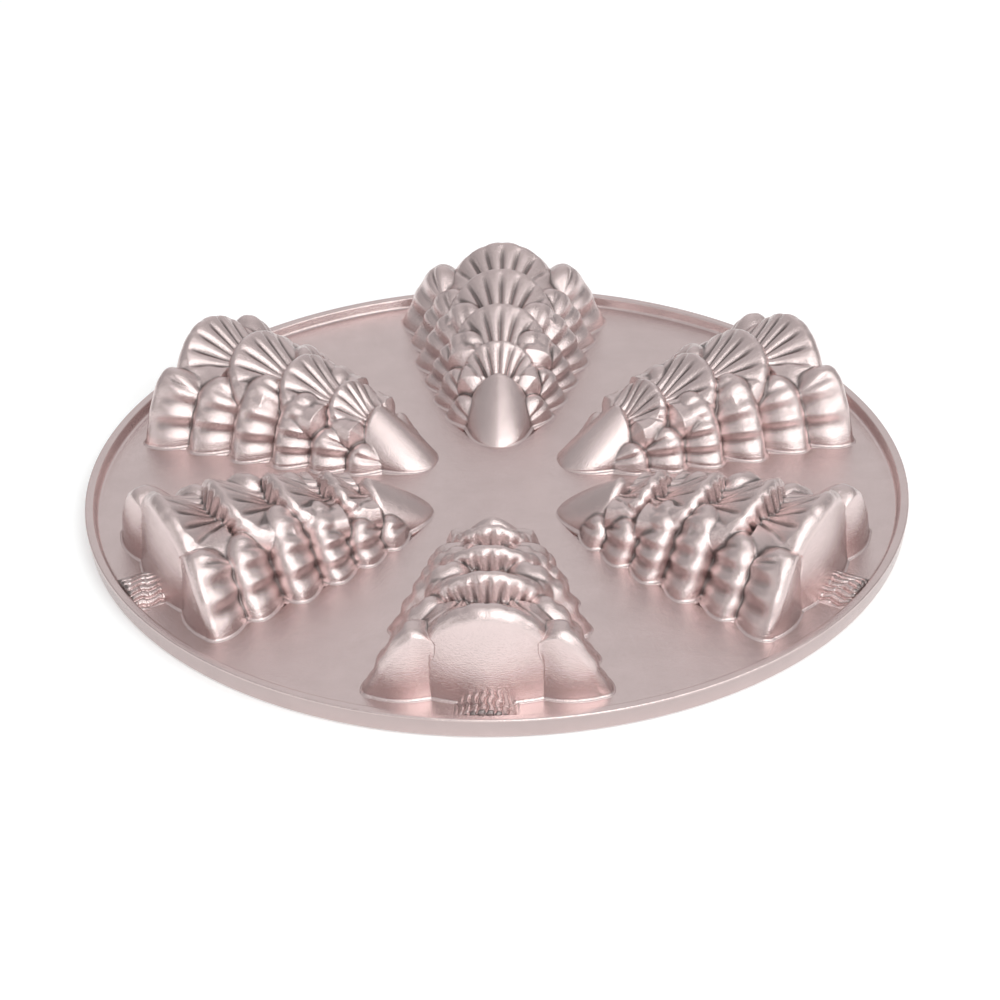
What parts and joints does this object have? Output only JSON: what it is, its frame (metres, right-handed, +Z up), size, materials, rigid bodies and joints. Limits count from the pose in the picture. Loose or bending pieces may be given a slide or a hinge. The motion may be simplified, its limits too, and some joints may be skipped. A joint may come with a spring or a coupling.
{
  "type": "cakelette pan",
  "caption": "Round cast baking pan whose cups are half fir trees lying on their backs with tips towards the middle, each with scalloped boughs, an end wall and a bark trunk.",
  "frame": {"origin": "middle of the pan on its flat baking face, the plane that it stands on when it lies bottom up", "axes": "+Z up, out of the cup bottoms; -Y along the cup nearest the viewer, from its tip to its trunk"},
  "size_m": [0.3, 0.3, 0.0388],
  "materials": {
    "cast_aluminium": "satin rose-silver sprayed coat on cast aluminium, fine metallic grain"
  },
  "bodies": {
    "root": {"deck_middle": "cast_aluminium", "rim": "cast_aluminium", "deck_sector_1": "cast_aluminium", "tip_boughs_1": "cast_aluminium", "middle_boughs_1": "cast_aluminium", "base_boughs_1": "cast_aluminium", "end_wall_1": "cast_aluminium", "trunk_1": "cast_aluminium", "deck_sector_2": "cast_aluminium", "tip_boughs_2": "cast_aluminium", "middle_boughs_2": "cast_aluminium", "base_boughs_2": "cast_aluminium", "end_wall_2": "cast_aluminium", "trunk_2": "cast_aluminium", "deck_sector_3": "cast_aluminium", "tip_boughs_3": "cast_aluminium", "middle_boughs_3": "cast_aluminium", "base_boughs_3": "cast_aluminium", "end_wall_3": "cast_aluminium", "trunk_3": "cast_aluminium", "deck_sector_4": "cast_aluminium", "tip_boughs_4": "cast_aluminium", "middle_boughs_4": "cast_aluminium", "base_boughs_4": "cast_aluminium", "end_wall_4": "cast_aluminium", "trunk_4": "cast_aluminium", "deck_sector_5": "cast_aluminium", "tip_boughs_5": "cast_aluminium", "middle_boughs_5": "cast_aluminium", "base_boughs_5": "cast_aluminium", "end_wall_5": "cast_aluminium", "trunk_5": "cast_aluminium", "deck_sector_6": "cast_aluminium", "tip_boughs_6": "cast_aluminium", "middle_boughs_6": "cast_aluminium", "base_boughs_6": "cast_aluminium", "end_wall_6": "cast_aluminium", "trunk_6": "cast_aluminium"}
  },
  "joints": []
}
